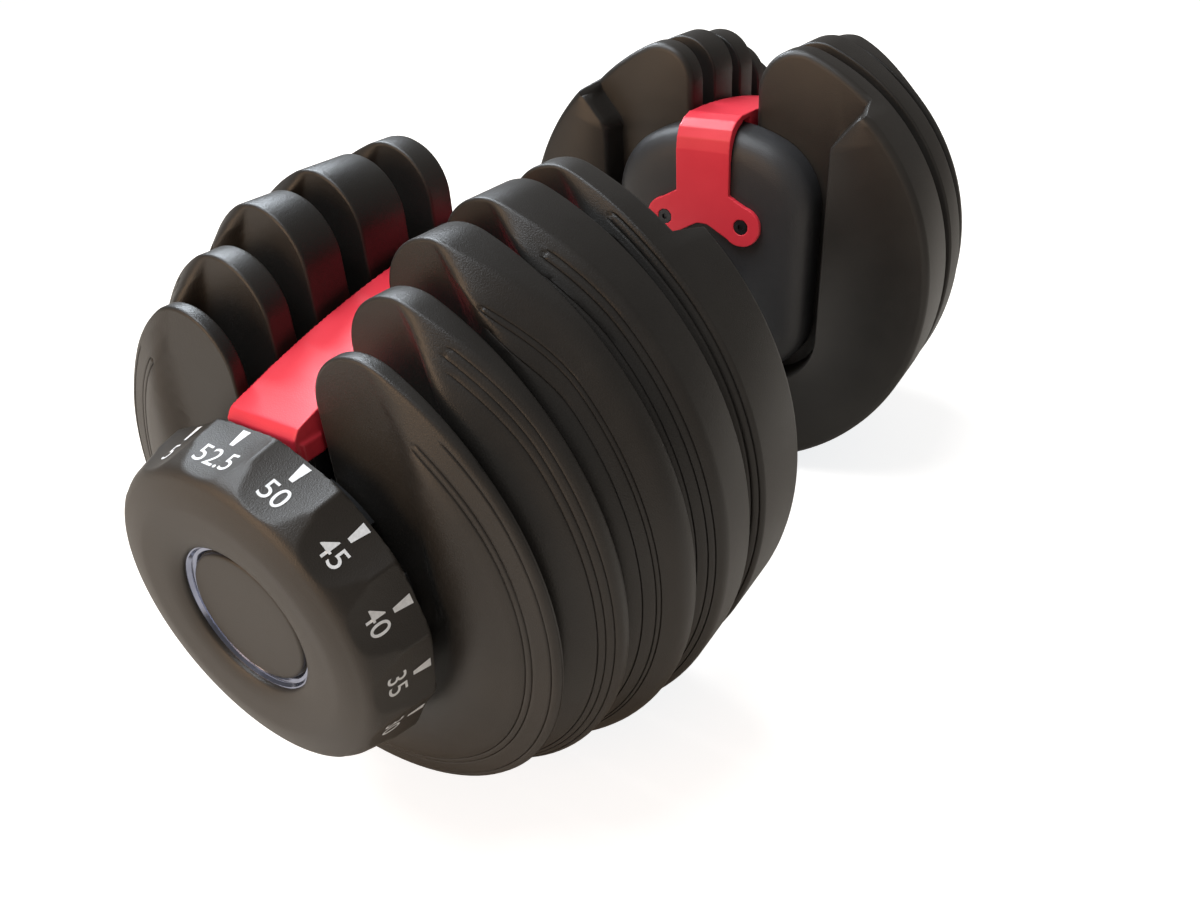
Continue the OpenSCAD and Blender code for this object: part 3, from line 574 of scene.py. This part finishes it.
def curve_through(points, count):
    """Evenly spaced points on a smooth curve through the given ones."""
    run = np.r_[0, np.cumsum(np.linalg.norm(np.diff(points, axis=0), axis=1))]
    fine = np.linspace(0, run[-1], count)
    slope = np.gradient(points, run, axis=0)
    k = np.clip(np.searchsorted(run, fine, side="right") - 1, 0, len(run) - 2)
    h = (run[k + 1] - run[k])[:, None]
    t = ((fine - run[k]) / h[:, 0])[:, None]
    return ((2 * t**3 - 3 * t**2 + 1) * points[k] + (t**3 - 2 * t**2 + t) * h * slope[k]
            + (3 * t**2 - 2 * t**3) * points[k + 1] + (t**3 - t**2) * h * slope[k + 1])


def scalloped(out, radius, angle):
    """Radius of the dial after the finger hollows."""
    swing = (angle + PITCH / 2) % PITCH - PITCH / 2
    centre = DIAL_RADIUS + HOLLOW - HOLLOW_DEPTH - out * HOLLOW_TILT
    dip = centre * np.cos(swing) - np.sqrt(np.maximum(HOLLOW**2 - (centre * np.sin(swing)) ** 2, 0))
    return soft_min(radius, dip, 0.16)


def dial_mesh():
    profile = curve_through(DIAL, 76)
    angles = np.linspace(0, 2 * math.pi, len(SETTINGS) * 32, endpoint=False)
    out, angle = np.meshgrid(profile[:, 0], angles, indexing="ij")
    radius = np.meshgrid(profile[:, 1], angles, indexing="ij")[0]
    radius = np.where(radius > 40, scalloped(out, radius, angle), radius)
    points = np.stack([DIAL_BACK + out, radius * np.sin(angle), radius * np.cos(angle)], -1)
    rows, count = radius.shape
    faces = joined_rows(rows, count)
    faces.append([(rows - 1) * count + j for j in range(count)])
    return make_mesh("dial", points.reshape(-1, 3), faces, dial_black, sharp=60)


both_ends("dial_body", dial_mesh(), "{}_selector", "{}_dial")

# %% [markdown]
# Text in Blender is flat, and the dial is not. So each number becomes a mesh,
# and its points are wrapped: across the text becomes an angle round the dial,
# and up the text becomes a distance towards the plates. It floats a tenth of a
# millimetre over the plastic, as thick as a print.
# %% Numbers and ticks
INK = 0.1
INK_RADIUS = 50.5  # where a millimetre of text is a millimetre of dial
NUMBER_OUT = 11.4
NUMBER_HEIGHT = 8.0
NUMBER_WIDTH = 1.02
TICK_OUT = 0.9
TICK_LENGTH = 5.4


def surface_radius(out, angle):
    outside = DIAL[3:17]
    return scalloped(out, np.interp(out, outside[:, 0], outside[:, 1]), angle)


def wrapped(flat, middle, out):
    """Wraps flat points (across, up) round the dial at an angle and distance."""
    reach = out - flat[:, 1]
    angle = middle + flat[:, 0] / INK_RADIUS
    radius = surface_radius(reach, angle) + INK
    return np.c_[DIAL_BACK + reach, radius * np.sin(angle), radius * np.cos(angle)]


def number_mesh(text, middle):
    font = bpy.data.curves.new("number", "FONT")
    font.body, font.size, font.align_x, font.align_y = text, NUMBER_HEIGHT, "CENTER", "CENTER"
    font.resolution_u = 6
    font.offset = 0.02
    holder = bpy.data.objects.new("number", font)
    flat = bpy.data.meshes.new_from_object(holder)
    shape = bmesh.new()
    shape.from_mesh(flat)
    bmesh.ops.triangulate(shape, faces=shape.faces)
    long_edges = [e for e in shape.edges if e.calc_length() > 1.2]
    bmesh.ops.subdivide_edges(shape, edges=long_edges, cuts=2)
    bmesh.ops.triangulate(shape, faces=shape.faces)
    points = np.array([v.co[:2] for v in shape.verts])
    points[:, 0] *= NUMBER_WIDTH
    faces = [[v.index for v in f.verts] for f in shape.faces]
    shape.free()
    bpy.data.objects.remove(holder)
    return wrapped(points, middle, NUMBER_OUT), faces


def tick(middle):
    """A wedge that points from the plates to its number."""
    rows = np.linspace(0, 1, 6)
    half = 1.45 - 0.75 * rows
    flat = np.r_[np.c_[-half, -TICK_LENGTH * rows], np.c_[half, -TICK_LENGTH * rows]]
    count = len(rows)
    faces = [(k, k + 1, count + k + 1, count + k) for k in range(count - 1)]
    return wrapped(flat, middle, TICK_OUT), faces


points, faces = [], []
for k, text in enumerate(SETTINGS):
    for spots, polygons in (number_mesh(text, k * PITCH), tick(k * PITCH)):
        start = sum(len(p) for p in points)
        points.append(spots)
        faces += [[start + i for i in f] for f in polygons]
ink_mesh = make_mesh("dial_numbers", np.vstack(points), faces, white_ink, sharp=0, weld=0)
both_ends("dial_numbers", ink_mesh, "{}_selector", None)

# %% [markdown]
# In the middle of the dial a bright ring lies round the cap, in a round well,
# and leans up against the well's wall. Both are lathe work: a profile turned
# about the axle. The cap's edge is broken by a small radius so that it catches
# the light.
# %% Ring and cap


def lathe(name, profile, finish, steps=120, sharp=40):
    """Turns (distance out, radius) pairs about the axle."""
    profile = np.asarray(profile, float)
    angles = np.linspace(0, 2 * math.pi, steps, endpoint=False)
    rings = [
        np.c_[np.full(steps, out), radius * np.sin(angles), radius * np.cos(angles)]
        for out, radius in profile]
    return make_mesh(name, np.vstack(rings), joined_rows(len(rings), steps), finish, sharp)


RING_LOW, RING_HIGH = span("right_dial_ring")
CAP_LOW, CAP_HIGH = span("right_dial_cap")
ring = [(RING_LOW, 20.6), (RING_LOW, 23.25), (RING_HIGH + 0.9, 23.25), (RING_HIGH + 0.8, 22.9),
        (RING_HIGH - 0.1, 22.3), (RING_HIGH - 0.2, 21.4), (RING_LOW, 20.6)]
both_ends("ring", lathe("ring", ring, silver, sharp=30), "{}_selector", "{}_dial_ring")
cap = [(CAP_LOW, 0.01), (CAP_LOW, 20.3), (CAP_HIGH - 1.1, 20.5), (CAP_HIGH - 0.6, 20.38),
       (CAP_HIGH - 0.25, 20.1), (CAP_HIGH - 0.05, 19.6), (CAP_HIGH, 19.0),
       (CAP_HIGH - 0.05, 15.0), (CAP_HIGH - 0.15, 8.0), (CAP_HIGH - 0.2, 0.01)]
both_ends("cap", lathe("cap", cap, dial_black), "{}_selector", "{}_dial_cap")

# %% [markdown]
# ## The housing
# Between the grip and plate 1 stands a rounded housing with an arched crown and
# pillow-soft edges. It is a loft: the same outline, drawn smaller and smaller
# towards the hand, with the steps chosen along a curve so that the edge rolls
# over into the face.
# %% Loft the housing
HOUSE_FACE, HOUSE_BACK = span("right_housing")
HOUSE_HALF = 48.5  # half its width
HOUSE_LOW = -47.0  # its underside, below the axle
CROWN_R, CROWN_Z = 72.0, -6.0  # the arch's radius and the height of its centre
TOP_CORNER, LOW_CORNER = 32.0, 25.0


def house_outline(inset):
    """The housing's outline, drawn a distance smaller all round."""
    half, top_r, low_r = HOUSE_HALF - inset, TOP_CORNER - inset, LOW_CORNER - inset
    crown = CROWN_R - inset
    corner_z = CROWN_Z + math.sqrt((crown - top_r) ** 2 - (half - top_r) ** 2)
    lean = math.degrees(math.atan2(corner_z - CROWN_Z, half - top_r))
    right = []
    for y, z, radius, start, end, steps in (
            (half - low_r, HOUSE_LOW + inset + low_r, low_r, -90, 0, 14),
            (half - top_r, corner_z, top_r, 0, lean, 14),
            (0.0, CROWN_Z, crown, lean, 90, 12)):
        angles = np.radians(np.linspace(start, end, steps))
        right.append(np.c_[y + radius * np.cos(angles), z + radius * np.sin(angles)])
    right = np.vstack(right)
    return np.vstack([right, (right[::-1] * [-1, 1])[1:]])


def housing_mesh():
    roll = [(0.0, 44.0), (0.0, 30.0), (0.02, 22.0), (0.15, 17.0), (0.5, 12.3), (1.2, 8.6),
            (2.2, 6.0), (3.4, 4.0), (4.8, 2.5), (6.2, 1.4), (8.0, 0.5), (10.0, 0.0)]
    middle = np.array([0.0, 12.0])
    first = roll[0][1]
    most = 14.0  # the outline can be drawn this much smaller, and then only shrinks
    rows = []
    for out, inset in [*roll, (HOUSE_BACK - HOUSE_FACE, 0.0)]:
        loop = house_outline(min(inset, most))
        if inset > most:
            loop = middle + (loop - middle) * (first - inset) / (first - most)
        rows.append(np.c_[np.full(len(loop), HOUSE_FACE + out), loop])
    count = len(rows[0])
    faces = joined_rows(len(rows), count)
    faces.append(list(range(count)))
    faces.append([(len(rows) - 1) * count + i for i in range(count)])
    return make_mesh("housing", np.vstack(rows), faces, slate, sharp=50)


both_ends("housing_skin", housing_mesh(), "handle", "{}_housing")

# %% [markdown]
# ## The red bridge
# The bridge over the discs is a thin moulding with soft edges everywhere. The
# CAD solid has the right form with sharp edges, so a copy of it is remeshed
# into even small squares and smoothed, which rounds every edge by the same
# small radius, as the mould does.
# %% Soften a copy of a CAD piece


def softened(node, name, finish, grid, rounds):
    """A copy of a CAD node, in squares of a grid's size, smoothed some rounds."""
    copy = bpy.data.objects.new(name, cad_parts[node].data.copy())
    bpy.context.scene.collection.objects.link(copy)
    copy.data.transform(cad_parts[node].matrix_world)
    even = copy.modifiers.new("even", "REMESH")
    even.mode, even.voxel_size = "VOXEL", grid * MM
    soft = copy.modifiers.new("soft", "SMOOTH")
    soft.factor, soft.iterations = 0.5, rounds
    graph = bpy.context.evaluated_depsgraph_get()
    data = bpy.data.meshes.new_from_object(copy.evaluated_get(graph))
    bpy.data.objects.remove(copy)
    data.transform(Matrix.Translation((0, 0, -AXLE_Z)))
    data.name = name
    data.materials.clear()
    data.materials.append(finish)
    data.shade_smooth()
    return data


bridge = softened("right_bridge", "bridge", red, grid=0.4, rounds=3)
both_ends("bridge_skin", bridge, "handle", "{}_bridge")

# %% [markdown]
# ## Floor, light and camera
# The dumbbell stands on a plain white floor. Black plastic shows its form by
# what it reflects, so the light is uneven on purpose: a cool lamp high behind
# the dumbbell draws the highlights on the horns' tips, one overhead lights the
# slopes, a warm one in front of the near dial lights its face, and the
# surroundings are white for the camera only.
# %% Floor


def white_for_the_eye(name, colour, glow):
    """A pale surface that glows for the camera only, and still takes a shadow."""
    finish, nodes, links, surface = new_finish(name)
    surface.inputs["Base Color"].default_value = (*colour, 1)
    surface.inputs["Roughness"].default_value = 0.9
    surface.inputs["Specular IOR Level"].default_value = 0.0
    surface.inputs["Emission Color"].default_value = (0.96, 0.98, 1, 1)
    seen = nodes.new("ShaderNodeLightPath")
    strength = spread(nodes, links, seen.outputs["Is Camera Ray"], 0.0, glow)
    links.new(strength, surface.inputs["Emission Strength"])
    return finish


FLOOR = 6.0
corners = [(-FLOOR, -FLOOR, 0), (FLOOR, -FLOOR, 0), (FLOOR, FLOOR, 0), (-FLOOR, FLOOR, 0)]
floor_data = bpy.data.meshes.new("floor")
floor_data.from_pydata(corners, [], [(0, 1, 2, 3)])
floor_data.materials.append(white_for_the_eye("floor_white", (0.56, 0.51, 0.45), 0.84))
floor = bpy.data.objects.new("floor", floor_data)
bpy.context.scene.collection.objects.link(floor)

# %% [markdown]
# A lamp is an area light pointed at the object: the larger it is, the softer
# the edge of its shadow. The world gives way to three kinds of ray: full white
# for the camera, little for reflections, and a middle level for soft fill.
# %% Light


def lamp(name, place, aim, size, power, colour=(1, 1, 1)):
    light = bpy.data.lights.new(name, "AREA")
    light.shape, light.size, light.energy, light.color = "DISK", size, power, colour
    holder = bpy.data.objects.new(name, light)
    holder.location = place
    holder.rotation_euler = (Vector(aim) - Vector(place)).to_track_quat("-Z", "Y").to_euler()
    bpy.context.scene.collection.objects.link(holder)


lamp("window", (0.6, 1.2, 1.45), (0, 0, 0.1), 0.8, 32, (0.84, 0.92, 1.0))
lamp("ceiling", (-0.5, 0.45, 1.8), (0, 0, 0.1), 1.2, 31, (0.88, 0.94, 1.0))
lamp("room", (-1.7, 0.5, 0.6), (0, 0, 0.1), 1.2, 15, (1.0, 0.66, 0.40))
world = bpy.data.worlds.new("studio")
bpy.context.scene.world = world
world.use_nodes = True
nodes, links = world.node_tree.nodes, world.node_tree.links
seen = nodes.new("ShaderNodeLightPath")
around = spread(nodes, links, seen.outputs["Is Glossy Ray"], 0.33, 0.17)
level = spread(nodes, links, seen.outputs["Is Camera Ray"], 0.0, 1.0)
links.new(around, level.node.inputs["To Min"])
tint = ramp(nodes, links, seen.outputs["Is Camera Ray"], 0.0, 1.0, ((1.0, 0.92, 0.84), (1, 1, 1)))
links.new(level, nodes["Background"].inputs["Strength"])
links.new(tint.outputs["Color"], nodes["Background"].inputs["Color"])

# %% [markdown]
# The camera looks down at the near dial from close by, which is why that end
# looks so much larger than the other.
# %% Camera
scene = bpy.context.scene
scene.view_settings.view_transform = "Standard"
camera = bpy.data.objects.new("camera", bpy.data.cameras.new("camera"))
scene.collection.objects.link(camera)
camera.data.lens = 27.95
camera.data.sensor_width = 36.0
camera.location = (-0.3043, -0.1863, 0.2680)
camera.rotation_euler = Euler([math.radians(a) for a in (57.28, 2.95, -57.64)])
scene.camera = camera
